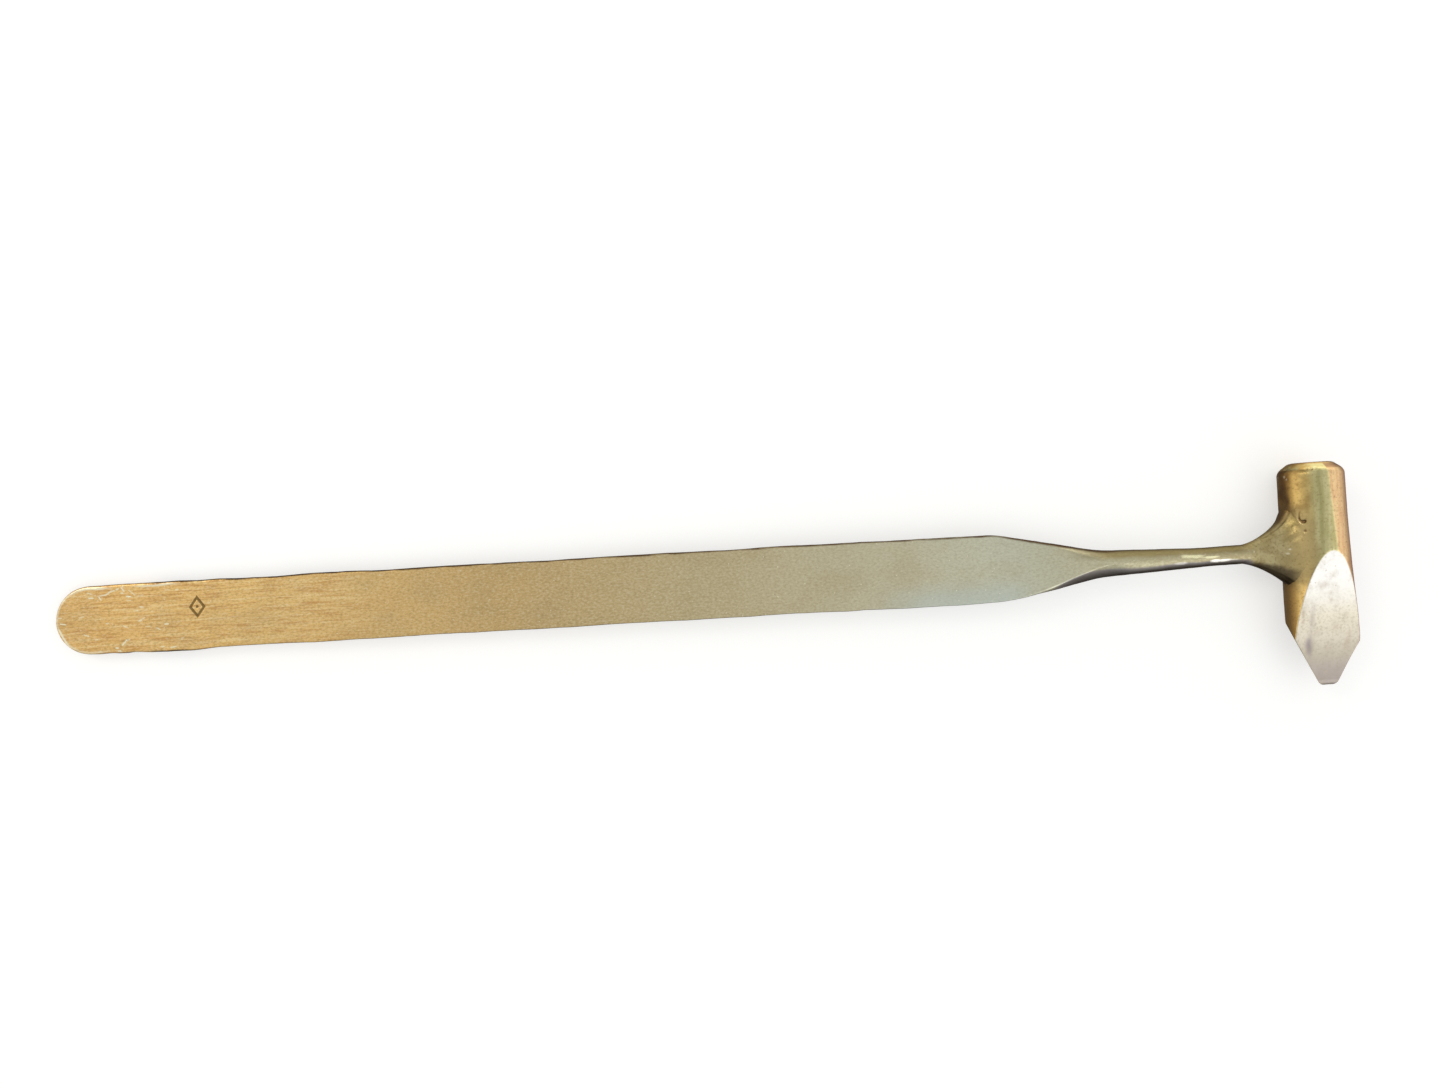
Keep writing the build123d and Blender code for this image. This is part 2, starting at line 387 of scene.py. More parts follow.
def build_handle(material):
    """The forged bar, from the rounded end of the grip into the head."""
    stations = handle_stations()
    sections = np.array([handle_section(x) for x in stations])
    along = np.repeat(stations[:, None], HANDLE_RING, axis=1)
    rings = np.stack([along, sections[..., 0], sections[..., 1]], axis=-1)
    normal = ring_normals(rings)
    lift = 0.018 * value_noise(rings, 7.0, 21) + 0.006 * value_noise(rings, 1.3, 22)
    drawn = smooth(rings[..., 0], SHOULDER_START, SHOULDER_END)
    lift += drawn * (0.03 * value_noise(rings, 4.0, 23) + 0.012 * value_noise(rings, 1.0, 24))
    rings = rings + normal * lift[..., None]
    on_top = (rings[..., 2] > 0) & (normal[..., 2] > 0.5)
    depth = np.where(on_top, punched_mark(rings[..., 0], rings[..., 1]), 0)
    rings[..., 2] -= depth
    # Dark oxide with painted shade along the edges; scratches, and painted highlights on the crease, a
    # bead and the end's rim
    dark, bright_marks = edge_marks(rings, sections[..., 2], sections[..., 3])
    bright_marks = np.maximum(bright_marks, np.where(on_top, scratched(rings[..., 0], rings[..., 1]), 0))
    # Painted highlights along the neck, a gold streak and a white streak
    gold_painted_highlight, white_painted_highlight = painted_neck_highlights(rings)
    # Browner along the neck's upper side, painted shade along its lower side
    neck_brown, neck_painted_shade = neck_tones(rings)
    # On the shoulder the painted shade keeps below the crease
    below_crease = smooth(lower_reach(rings[..., 0]) - sections[..., 3], -0.25, 0.15)
    neck_painted_shade = neck_painted_shade * np.maximum(smooth(rings[..., 0], -43, -38), below_crease)
    marks = {
        "edge_oxide_and_shade": dark,
        "edge_wear_and_highlight": bright_marks,
        "punched": depth / MARK_DEPTH,
        "gold_painted_highlight": gold_painted_highlight,
        "white_painted_highlight": white_painted_highlight,
        "neck_brown": neck_brown,
        "neck_painted_shade": neck_painted_shade,
    }
    first = rings[0].mean(axis=0) - [0.01, 0, 0]
    last = rings[-1].mean(axis=0) + [0.4, 0, 0]
    piece = ring_piece("handle_forged", rings, first, last, material, marks)
    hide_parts("handle")
    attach(piece, "root")
    return piece


# ---- Head ----
RIM = 1.4
SPREAD_FROM, SPREAD_RATE = 15.0, 0.0016
FACET_TOP, FACET_SLOPE, FACET_BEND = 0.0, 0.2686, -12.0
FACET_TWIST = 0.0224
TIP_HALF_THICKNESS = 0.5
TIP_NOSE = 1.1
NEAR_BEVEL_POINT = (-0.9, -24.45)
NEAR_BEVEL_NORMAL = (-0.82, -0.40, -0.41)
FAR_BEVEL = ((SIDE_REACH, -17.4), (2.7, -25.2))
TIP_CORNER, TIP_X = 1.2, 1.0
CORNER_LEAN = -0.5
ARRIS = 0.10
FAR_AWAY = 99.0
HEAD_RING = 252


def side_spread(y):
    """How far the far side has spread beyond the barrel's radius."""
    return SPREAD_RATE * np.clip(SPREAD_FROM - y, 0, None) ** 2


def facet_height(y):
    """Height of a ground facet above the peen's mid-plane."""
    bend_height = HEAD_RADIUS - (FACET_TOP - FACET_BEND) * FACET_SLOPE
    run = PEEN_REACH + FACET_BEND
    hollow = (TIP_HALF_THICKNESS - bend_height + FACET_SLOPE * run) / run**2
    beyond = np.clip(FACET_BEND - y, 0, None)
    straight = HEAD_RADIUS + (np.maximum(y, FACET_BEND) - FACET_TOP) * FACET_SLOPE
    height = straight - FACET_SLOPE * beyond + hollow * beyond**2
    nose = np.clip((-PEEN_REACH + TIP_NOSE - y) / TIP_NOSE, 0, 1)
    return height * np.sqrt(1 - nose**2)


def to_plane(offset, push):
    """Distance along each direction to a plane, or far away if it is never reached."""
    return np.where(push > 1e-3, offset / np.maximum(push, 1e-3), FAR_AWAY)


def corner_limit(y, point, normal_x, normal_y):
    """Where the rounded corner between a bevel and the tip stands at y, or nothing above it."""
    length = math.hypot(normal_x, normal_y)
    normal_x, normal_y = normal_x / length, normal_y / length
    centre_y = -PEEN_REACH + TIP_CORNER
    if y > centre_y + TIP_CORNER * normal_y:
        return None
    centre_x = point[0] - (TIP_CORNER + (centre_y - point[1]) * normal_y) / normal_x
    reach = math.sqrt(max(TIP_CORNER**2 - (y - centre_y) ** 2, 0))
    return centre_x + math.copysign(reach, normal_x)


def head_section(y):
    """One section of the head as a closed curve, with its shares of facet and bevel."""
    spread = side_spread(y)
    middle = TIP_X * smooth(-y, 8, 25)
    theta = np.linspace(math.pi, 3 * math.pi, 1440, endpoint=False)
    cos, sin = np.cos(theta), np.sin(theta)
    rx, off = HEAD_RADIUS + spread / 2, middle - spread / 2
    a = (cos / rx) ** 2 + (sin / HEAD_RADIUS) ** 2
    b = 2 * off * cos / rx**2
    c = (off / rx) ** 2 - 1
    barrel = (-b + np.sqrt(b * b - 4 * a * c)) / (2 * a)
    height = facet_height(y)
    top = to_plane(height - FACET_TWIST * middle, sin + FACET_TWIST * cos)
    bottom = to_plane(height, -sin)
    lean_x, lean_y, lean_z = NEAR_BEVEL_NORMAL
    near_gap = lean_x * (NEAR_BEVEL_POINT[0] - middle) + lean_y * (NEAR_BEVEL_POINT[1] - y)
    near = to_plane(near_gap, lean_x * cos + lean_z * sin)
    (x0, y0), (x1, y1) = FAR_BEVEL
    far_limit = min(x0 + (x1 - x0) * (y0 - y) / (y0 - y1), SIDE_REACH)
    far_corner = corner_limit(y, FAR_BEVEL[1], y0 - y1, x1 - x0)
    if far_corner is not None:
        far_limit = far_corner
    near_corner = corner_limit(y, NEAR_BEVEL_POINT, lean_x, lean_y)
    if near_corner is not None:
        near = to_plane(middle - near_corner, -cos + CORNER_LEAN * sin)
    far = to_plane(far_limit - middle, cos)
    ease = min(ARRIS, 0.5 * height)
    ground = np.minimum(top, bottom)
    bevels = np.minimum(near, far)
    radius = soft_min(soft_min(barrel, ground, ease), bevels, ease)
    facet = smooth(np.minimum(barrel, bevels) - ground, -0.01, 0.05)
    bevel = smooth(np.minimum(barrel, ground) - bevels, -0.01, 0.05)
    curve = np.column_stack([middle + radius * cos, radius * sin, facet, bevel])
    return even_ring(curve, HEAD_RING)


def head_stations():
    """Stations along the head below its rim, closer at the tip."""
    barrel = np.arange(FACE_REACH - 2.5, -PEEN_REACH + 1.2, -0.155)
    tip = -PEEN_REACH + 1.2 * np.cos(np.linspace(0.02, 0.985, 22) * math.pi / 2) ** 1.5
    return np.concatenate([barrel, tip])


def rim_profile():
    """Radius and drop below the face: a slight crown, a chamfer, and eased corners."""
    flat = HEAD_RADIUS - 1.9
    crown = [(r, 0.10 * (r / flat) ** 2) for r in np.linspace(0.15, flat - 0.6, 20)]

    def eased(start, corner, end, count):
        t = np.linspace(0, 1, count)[:, None]
        start, corner, end = map(np.array, (start, corner, end))
        return (start * (1 - t) ** 2 + 2 * corner * t * (1 - t) + end * t**2).tolist()

    inner = eased((flat - 0.55, 0.08), (flat - 0.05, 0.10), (flat + 0.35, 0.40), 11)
    outer_start = (HEAD_RADIUS - 0.68, 1.08)
    chamfer = np.linspace(inner[-1], outer_start, 8)[1:-1].tolist()
    outer = eased(outer_start, (HEAD_RADIUS - 0.08, 1.62), (HEAD_RADIUS, 2.35), 11)
    return crown + inner + chamfer + outer


def barrel_texture(points):
    """Unevenness of the barrel in mm, shared with the metal that fades into it."""
    coarse = 0.03 * value_noise(points, 6.0, 31) + 0.012 * value_noise(points, 1.6, 32)
    return coarse + 0.004 * value_noise(points, 0.45, 33)


def blemishes(points):
    """Depth in mm, and share, of the scar and pits beside the joint."""
    x, y, z = points[..., 0], points[..., 1], points[..., 2]
    bearing = np.degrees(np.arctan2(x, np.abs(z)))
    top = z > 0

    def spot(y0, bearing0, size):
        u = np.radians(bearing - bearing0) * HEAD_RADIUS
        return (1 - smooth(np.hypot(u, y - y0), size * 0.35, size)) * top

    # A thumbnail-shaped crescent, open towards the far side, deepest at its foot
    u = np.radians(bearing + 46.5) * HEAD_RADIUS
    v = y - 6.55
    ring_gap = np.abs(np.hypot(u / 0.74, v / 1.10) - 1)
    crescent = (1 - smooth(ring_gap, 0.06, 0.34)) * smooth(-u - 0.55 * v, -0.40, 0.25) * top
    crescent = crescent * (0.40 + 0.60 * smooth(-v, -0.3, 0.9))
    foot = spot(5.5, -45, 0.46)
    pits = np.maximum(0.30 * spot(4.75, -61, 0.6), 0.6 * spot(3.75, -43.5, 0.42))
    pits = np.maximum(pits, 0.7 * spot(15.25, -28, 0.30))
    return 0.16 * crescent + 0.12 * np.maximum(foot, pits), np.maximum.reduce([crescent, foot, pits])


def colour_zones(points):
    """Share of each tone round the barrel, with the shade painted on its sides, and an olive band that is
    partly tarnish and partly a painted dim reflection.
    """
    x, y, z = points[..., 0], points[..., 1], points[..., 2]
    bearing = np.degrees(np.arctan2(x, np.abs(z)))
    ragged = 2.2 * value_noise(points, 2.6, 51) + 1.0 * value_noise(points, 0.7, 52)
    line = 0.5 + 0.76 * (15.0 - y)
    rubbed = smooth(bearing - line - 0.25 * ragged, -0.9, 0.9) * (1 - smooth(bearing, 112, 150))
    kept = 1 - rubbed
    brown = smooth(bearing + ragged, -60, -38) * kept
    olive = smooth(bearing + 0.5 * ragged, -40, -18) * kept
    seam = np.exp(-(((bearing + 15.5 + 0.4 * ragged) / 4.0) ** 2)) * kept
    fringe = np.exp(-(((bearing - line) / 1.8) ** 2))
    shade = smooth(-bearing - 0.8 * ragged, 60, 86)
    far_shade = smooth(bearing, 42, 62) * (1 - smooth(bearing, 100, 140))
    joint = 1 - smooth(np.hypot((y - 0.9) / 8.3, (bearing + 68) / 46) + 0.05 * ragged, 0.72, 1.15)
    below = smooth(-y, 4.5, 7.5) * kept
    glint = np.zeros_like(y)
    for y0, bearing0, size in ((14.0, -79, 0.32), (13.5, -74, 0.22), (-0.3, -68, 0.26), (0.5, -66, 0.18)):
        away = np.hypot(np.radians(bearing - bearing0) * HEAD_RADIUS, y - y0)
        glint = np.maximum(glint, 1 - smooth(away, 0.4 * size, size))
    return {
        "rubbed": rubbed,
        "brown": brown * (1 - below),
        "olive": olive * (1 - below),
        "seam": seam * (1 - below),
        "fringe": fringe * (y > -1),
        "shade": shade * (1 - 0.5 * below),
        "below": below,
        "glint": glint,
        "far_shade": far_shade,
        "joint": joint,
    }


FACET_PATCHES = (
    # x, y, half width, half length, strength
    (-2.75, -18.0, 0.60, 1.9, 1.0),
    (-2.45, -12.6, 0.50, 2.4, 0.45),
    (-4.25, -11.6, 0.35, 0.7, 0.55),
    (-4.15, -13.2, 0.30, 0.5, 0.45),
    (-0.9, -6.4, 0.9, 0.5, 0.30),
    (0.5, -8.0, 1.2, 0.35, 0.22),
    (2.2, -14.7, 0.7, 0.6, 0.18),
    (4.5, -17.6, 0.5, 0.9, 0.40),
    (4.9, -15.8, 0.35, 0.5, 0.30),
)


def facet_patches(points):
    """Patches on the upper ground facet: a greyish one, and small brownish ones."""
    x, y = points[..., 0], points[..., 1]
    ragged = 1 + 0.5 * value_noise(points, 0.6, 37)
    soils = [
        strength * np.exp(-((((x - x0) / rx) ** 2 + ((y - y0) / ry) ** 2) * ragged))
        for x0, y0, rx, ry, strength in FACET_PATCHES
    ]
    return np.maximum(soils[0], soils[1]), np.maximum.reduce(soils[2:])


def rim_dents(bearing, off_rim):
    """Small dents where the rim meets the barrel, and one in its near side."""
    dents = np.zeros_like(bearing)
    for at, size in ((-28, 0.42), (-20, 0.3), (-36, 0.28), (-80, 0.4)):
        around = np.radians(bearing - at) * HEAD_RADIUS
        dents = np.maximum(dents, 1 - smooth(np.hypot(around * 0.7, off_rim), size * 0.3, size))
    return dents


def build_head(material):
    """The head, from the middle of its striking face to the tip of its peen."""
    rings, facet, bevel = [], [], []

    def add_ring(section, y, shrink):
        level = np.full(HEAD_RING, y)
        rings.append(np.column_stack([section[:, 0] * shrink, level, section[:, 1] * shrink]))
        facet.append(section[:, 2])
        bevel.append(section[:, 3])

    for radius, drop in rim_profile():
        y = FACE_REACH - drop
        add_ring(head_section(y), y, radius / HEAD_RADIUS)
    for y in head_stations():
        add_ring(head_section(y), y, 1.0)
    rings, facet, bevel = np.array(rings), np.array(facet), np.array(bevel)
    x, y, z = rings[..., 0], rings[..., 1], rings[..., 2]

    normal = ring_normals(rings)
    ground = np.maximum(facet, bevel)
    barrel = 1 - ground
    lift = barrel * barrel_texture(rings)
    lift += facet * (0.022 * value_noise(rings, 5.0, 34) + 0.006 * value_noise(rings, 1.1, 35))
    depth, pitted = blemishes(rings)
    bearing = np.degrees(np.arctan2(x, np.abs(z)))
    rim_y = FACE_REACH - RIM
    dents = rim_dents(bearing, y - rim_y) * (z > 0)
    # The near side is slightly lumpy above the joint, and waisted just above it
    near_side = smooth(-bearing, 68, 88)
    lumps = 0.07 * line_noise(y, 1.9, 36) * near_side * smooth(y, 4, 8)
    waist = 0.30 * np.exp(-(((y - 9.6) / 2.6) ** 2)) * near_side
    lift += barrel * (lumps - waist - depth - 0.10 * dents)
    # A shallow greyish hollow in the upper facet, towards the near side
    grey_patch, soil = facet_patches(rings)
    grey_patch, soil = grey_patch * facet * (z > 0), soil * facet * (z > 0)
    lift -= 0.05 * grey_patch
    rings = rings + normal * lift[..., None]

    rim = smooth(y, rim_y - 0.15, rim_y + 0.1)
    # Grows towards the tip, where the facets' painted reflection greys and their speckles thicken
    towards_tip = smooth(-y, 4.0, 24.5)
    struck = 1 - smooth(np.hypot(x, z), HEAD_RADIUS - 1.75, HEAD_RADIUS - 1.2)
    struck = struck * (y > rim_y)
    marks = {"facet": facet, "bevel": bevel, "rim": rim, "grey_patch": grey_patch, "soil": soil, "towards_tip": towards_tip}
    marks["pitted"] = np.maximum(pitted * barrel, dents)
    marks["struck"] = struck
    marks.update(colour_zones(rings))
    first = rings[0].mean(axis=0)
    last = rings[-1].mean(axis=0) - [0, 0.01, 0]
    piece = ring_piece("head_forged", rings, first, last, material, marks)
    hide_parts("head")
    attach(piece, "root")
    return piece


# ---- Brazing metal between neck and head ----
FLARE_START = -15.2
FLARE_TOP, FLARE_BOTTOM = 8.2, 6.2
FLARE_WRAP = 50.0
FLARE_RING = 192
FLARE_STEPS = 76
FLARE_SINK = 0.06


def flare_border():
    """Where the collar meets the barrel, one point for each direction round the neck.

    Gives the two parts of each direction, the point, the barrel's normal, and the way outward.
    """
    phi = np.linspace(0, 2 * math.pi, FLARE_RING, endpoint=False)
    up, side = np.cos(phi), np.sin(phi)
    circle = np.stack([up, side, np.zeros_like(phi)], axis=-1)
    ragged = 1 + 0.035 * value_noise(circle * 3, 1.0, 41) + 0.018 * value_noise(circle * 9, 1.0, 42)
    height = np.where(up > 0, FLARE_TOP, FLARE_BOTTOM)
    border_y = height * up * ragged
    border_turn = np.radians(FLARE_WRAP) * side * ragged
    head_normal = np.stack([-np.cos(border_turn), 0 * phi, np.sin(border_turn)], axis=-1)
    on_head = head_normal * HEAD_RADIUS + np.stack([0 * phi, border_y, 0 * phi], axis=-1)
    outward = np.stack([
        np.sin(border_turn) * HEAD_RADIUS * border_turn,
        border_y,
        np.cos(border_turn) * HEAD_RADIUS * border_turn,
    ], axis=-1)
    outward /= np.linalg.norm(outward, axis=1, keepdims=True)
    return up, side, on_head, head_normal, outward


def flare_rings(up, side, on_head, head_normal, outward):
    """The collar's clean surface, swept from a circle on the neck to the border, and each ring's share."""
    centre, half_width, _ = handle_shape(FLARE_START)
    start_radius = half_width - 0.05
    start = np.stack([
        np.full_like(up, FLARE_START),
        centre + start_radius * up,
        start_radius * side,
    ], axis=-1)
    # The metal fades into the head above and beside the joint, and stops at a crease below it
    low = smooth(-up, 0.34, 0.96)
    high = smooth(up, 0.35, 0.95)
    steep = 0.05 + 0.82 * low + 0.10 * high
    arrive = outward - head_normal * steep[:, None]
    arrive /= np.linalg.norm(arrive, axis=1, keepdims=True)
    leave_pull = 14.0 + 3.0 * np.abs(side) - 1.6 * low - 1.8 * high
    arrive_pull = 9.0 + 2.0 * np.abs(side) - 5.0 * low - 1.5 * high
    lip_share = smooth(up, 0.86, 1.0)
    border = on_head + head_normal * (0.08 * lip_share - FLARE_SINK - 0.10 * low)[:, None]
    shares = np.linspace(0, 1, FLARE_STEPS)
    rings = []
    for s in shares:
        h00, h10 = 2 * s**3 - 3 * s**2 + 1, s**3 - 2 * s**2 + s
        h01, h11 = -2 * s**3 + 3 * s**2, s**3 - s**2
        ring = h00 * start + h01 * border
        ring = ring + h10 * np.array([1.0, 0, 0]) * leave_pull[:, None]
        ring = ring + h11 * arrive * arrive_pull[:, None]
        lip = math.exp(-(((s - 0.88) / 0.09) ** 2))
        ring = ring + head_normal * (lip * 0.22 * lip_share)[:, None]
        rings.append(ring)
    return np.array(rings), shares[:, None] * np.ones_like(up)


def build_braze(material):
    """The collar of brazing metal between the neck and the head."""
    up, side, on_head, head_normal, outward = flare_border()
    rings, share = flare_rings(up, side, on_head, head_normal, outward)
    normal = ring_normals(rings)
    faded = smooth(share, 0.55, 0.90)
    rough = smooth(share, 0.05, 0.5) * (1 - faded)
    lift = rough * (0.06 * value_noise(rings, 3.2, 43) + 0.025 * value_noise(rings, 1.1, 44))
    lift += rough * 0.01 * value_noise(rings, 0.4, 45) + faded * barrel_texture(rings)
    depth, pitted = blemishes(rings)
    rings = rings + normal * (lift - depth)[..., None]
    limit = facet_height(rings[..., 1]) - 0.03
    clipped = rings[..., 1] < FACET_TOP
    rings[..., 2] = np.where(clipped, np.clip(rings[..., 2], -limit, limit), rings[..., 2])
    x, y, z = rings[..., 0], rings[..., 1], rings[..., 2]
    # Painted shade, with some dark oxide, under the collar, fading out towards the head
    ledge = -2.05 - 0.17 * (x + 9) - 0.6 * smooth(x, -8.5, -4.5)
    ledge = ledge + 0.28 * value_noise(rings, 1.3, 46) + 0.10 * value_noise(rings, 0.5, 47)
    shade_below_collar = smooth(ledge - y, -0.35, 0.75) * smooth(x, -14.8, -13) * smooth(-x, 3.6, 6.2)
    # Painted shade on the collar's upper flank, towards the near side
    lean = np.degrees(np.arctan2(x, np.abs(z)))
    upper_flank_shade = np.exp(-(((y - 5.2) / 2.6) ** 2)) * np.exp(-(((lean + 66) / 13) ** 2))
    neck_brown, neck_painted_shade = neck_tones(rings)
    marks = {"share": share, "pitted": pitted, "under": shade_below_collar, "upper_flank_shade": upper_flank_shade}
    marks.update({"neck_brown": neck_brown, "neck_painted_shade": neck_painted_shade})
    marks.update(colour_zones(rings))
    under = on_head - head_normal * 0.8 - outward * 0.2
    inner = np.column_stack([np.full_like(up, -3.4), under[:, 1] * 0.6, under[:, 2] * 0.5])
    rings = np.concatenate([rings, under[None], inner[None]])
    marks = {name: np.vstack([values, values[-1:], values[-1:]]) for name, values in marks.items()}
    first = rings[0].mean(axis=0) + [0.3, 0, 0]
    last = rings[-1].mean(axis=0)
    piece = ring_piece("braze_flare", rings, first, last, material, marks)
    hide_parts("braze_fillet")
    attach(piece, "root")
    return piece


# ---- Materials ----
class Nodes:
    """Short ways to add and link the nodes of one tree."""

    def __init__(self, tree):
        self.nodes, self.links = tree.nodes, tree.links

    def feed(self, socket, value):
        """Links an output to a socket, or sets the socket's own value."""
        if isinstance(value, bpy.types.NodeSocket):
            self.links.new(value, socket)
        else:
            socket.default_value = value

    def add(self, kind, **inputs):
        """A new node. An underscore in the name of an input stands for a space."""
        node = self.nodes.new("ShaderNode" + kind)
        for name, value in inputs.items():
            self.feed(node.inputs[name.replace("_", " ")], value)
        return node

    def operate(self, kind, operation, a, b):
        node = self.add(kind)
        node.operation = operation
        self.feed(node.inputs[0], a)
        self.feed(node.inputs[1], b)
        return node.outputs["Value"]

    def math(self, operation, a, b):
        return self.operate("Math", operation, a, b)

    def times(self, a, b):
        return self.math("MULTIPLY", a, b)

    def ramp(self, value, low, high, out_low=0.0, out_high=1.0, curve="SMOOTHSTEP"):
        """Goes from out_low to out_high while the value goes from low to high."""
        node = self.add("MapRange", Value=value, From_Min=low, From_Max=high)
        node.inputs["To Min"].default_value, node.inputs["To Max"].default_value = out_low, out_high
        node.interpolation_type = curve
        return node.outputs["Result"]

    def mix(self, share, a, b, blend="MIX"):
        node = self.add("Mix", Factor=share)
        node.data_type, node.blend_type = "RGBA", blend
        self.feed(node.inputs[6], a)
        self.feed(node.inputs[7], b)
        return node.outputs[2]

    def stops(self, value, colours):
        """A colour ramp through (position, colour) stops."""
        node = self.add("ValToRGB", Fac=value)
        elements = node.color_ramp.elements
        while len(elements) > 1:
            elements.remove(elements[-1])
        elements[0].position, elements[0].color = colours[0]
        for position, colour in colours[1:]:
            elements.new(position).color = colour
        return node.outputs["Color"]


class Shader(Nodes):
    """The nodes of one metal. Its textures lie in the object's own coordinates, in metres."""

    def __init__(self, name):
        self.material = bpy.data.materials.new(name)
        self.material.use_nodes = True
        super().__init__(self.material.node_tree)
        self.surface = self.nodes["Principled BSDF"].inputs
        self.surface["Metallic"].default_value = 1.0
        self.place = self.add("TexCoord").outputs["Object"]

    def stretched(self, scale):
        return self.add("Mapping", Vector=self.place, Scale=scale).outputs["Vector"]

    def noise(self, scale, detail=2.0, roughness=0.5):
        node = self.add("TexNoise", Vector=self.stretched(scale), Scale=1.0)
        node.inputs["Detail"].default_value, node.inputs["Roughness"].default_value = detail, roughness
        return node.outputs["Fac"]

    def cells(self, scale):
        return self.add("TexVoronoi", Vector=self.stretched(scale), Scale=1.0).outputs["Distance"]

    def axis(self, name):
        return self.add("SeparateXYZ", Vector=self.place).outputs[name]

    def mark(self, name):
        """One of the marks that the mesh carries."""
        node = self.add("Attribute")
        node.attribute_name = name
        return node.outputs["Fac"]

    def share(self, name, amount):
        """A mark taken at part strength."""
        return self.times(self.mark(name), amount)

    def bump(self, height, distance, strength, **under):
        node = self.add("Bump", Height=height, Distance=distance, Strength=strength, **under)
        return node.outputs["Normal"]

    def finish(self, colour, roughness, normal):
        for name, value in (("Base Color", colour), ("Roughness", roughness), ("Normal", normal)):
            self.feed(self.surface[name], value)
        return self.material


def tone(red, green, blue):
    """An opaque colour from display values, 0 to 255."""
    def linear(value):
        value /= 255
        return value / 12.92 if value <= 0.04045 else ((value + 0.055) / 1.055) ** 2.4
    return (linear(red), linear(green), linear(blue), 1.0)


def neck_tone_and_shade(s, base):
    """Brown on the neck's upper side, and painted shade: grey that darkens round its lower side."""
    base = s.mix(s.share("neck_brown", 0.85), base, tone(128, 114, 75))
    grey = s.mark("neck_painted_shade")
    grey_tone = s.stops(grey, [(0.25, tone(146, 140, 144)), (1.0, tone(70, 64, 70))])
    return s.mix(s.ramp(grey, 0.05, 0.40, 0.0, 0.85), base, grey_tone)


def handle_brass():
    s = Shader("handle_brass")
    low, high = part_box("handle")
    along = s.ramp(s.axis("X"), low.x, high.x, curve="LINEAR")
    # Warm gold at the end of the grip, cooler and greyer towards the shoulder, brown on the neck
    base = s.stops(along, [
        (0.00, tone(235, 190, 120)),
        (0.15, tone(240, 200, 130)),
        (0.35, tone(210, 178, 124)),
        (0.50, tone(200, 184, 146)),
        (0.75, tone(200, 200, 180)),
        (0.85, tone(190, 184, 154)),
        (1.00, tone(168, 152, 108)),
    ])
    # Brushed, well handled quarter of the grip, fading into fine satin
    brushed = s.ramp(s.axis("X"), low.x + 0.072, low.x + 0.044)
    streaks = s.noise((190, 2700, 800), detail=3.0, roughness=0.6)
    long_streaks = s.noise((80, 1700, 500), detail=3.0, roughness=0.6)
    streak_dark = s.times(s.ramp(streaks, 0.48, 0.64), brushed)
    base = s.mix(s.times(streak_dark, 0.62), base, tone(196, 138, 74))
    light_tone = s.times(s.ramp(long_streaks, 0.50, 0.66), brushed)
    base = s.mix(s.times(light_tone, 0.5), base, tone(255, 230, 172))
    # Cloudy tarnish and fine grain over the whole strip
    clouds = s.noise((90, 130, 130), detail=5.0, roughness=0.6)
    base = s.mix(s.ramp(clouds, 0.42, 0.70, 0.0, 0.26), base, tone(176, 156, 116))
    grain = s.noise((1700, 2900, 2900), detail=2.0, roughness=0.7)
    calm = s.ramp(s.axis("X"), low.x + 0.09, low.x + 0.16, 1.0, 0.62)
    dark_grain = s.times(s.ramp(grain, 0.44, 0.74, 0.0, 0.5), calm)
    base = s.mix(dark_grain, base, tone(150, 134, 96))
    light_grain = s.times(s.ramp(grain, 0.50, 0.30, 0.0, 0.3), calm)
    base = s.mix(light_grain, base, tone(236, 232, 205))
    # A painted cool reflection along the lower side of the shoulder
    cool_reflection = s.ramp(s.axis("X"), high.x - 0.089, high.x - 0.072)
    cool_reflection = s.times(cool_reflection, s.ramp(s.axis("Y"), 0.0035, -0.0015))
    cool_reflection = s.times(cool_reflection, s.ramp(s.axis("X"), high.x - 0.052, high.x - 0.062))
    base = s.mix(s.times(cool_reflection, 0.45), base, tone(190, 206, 206))
    # Bright specks along the strip, scratches, and painted highlights on the crease, an upper edge bead
    # and the end's rim
    specks = s.ramp(s.cells((620, 700, 700)), 0.10, 0.04, 0.0, 0.55)
    bright = s.math("MAXIMUM", specks, s.mark("edge_wear_and_highlight"))
    base = s.mix(bright, base, tone(255, 252, 226))
    # The neck: browner above, painted shade greying it below, and two painted highlights
    base = neck_tone_and_shade(s, base)
    base = s.mix(s.share("gold_painted_highlight", 0.9), base, tone(255, 250, 206))
    base = s.mix(s.mark("white_painted_highlight"), base, tone(255, 252, 244))
    # Dark oxide with painted shade along the edges, and dark oxide in the punched mark
    edge_noise = s.noise((260, 900, 900), detail=3.0)
    edge_darkening = s.times(s.mark("edge_oxide_and_shade"), s.ramp(edge_noise, 0.25, 0.5, 0.6, 1.0))
    base = s.mix(edge_darkening, base, tone(84, 62, 40))
    base = s.mix(s.ramp(s.mark("punched"), 0.15, 0.9, 0.0, 0.8), base, tone(104, 82, 44))
    # Satin, a little glossier on the bright specks, the scratches and the painted highlights
    satin = s.ramp(grain, 0.3, 0.8, 0.36, 0.50)
    shiny = s.math("MAXIMUM", bright, s.math("MAXIMUM", s.mark("gold_painted_highlight"), s.mark("white_painted_highlight")))
    rough = s.math("SUBTRACT", satin, s.times(shiny, 0.14))
    normal = s.bump(streaks, 0.00003, 0.55)
    normal = s.bump(grain, 0.00002, 0.6, Normal=normal)
    return s.finish(base, rough, normal)


def brass_noises(s):
    """Cloudy mottling and fine grain, the same on the head and on the metal that joins it."""
    mottle = s.noise((420, 420, 420), detail=4.0, roughness=0.6)
    fine = s.noise((2200, 2200, 2200), detail=3.0, roughness=0.65)
    return mottle, fine


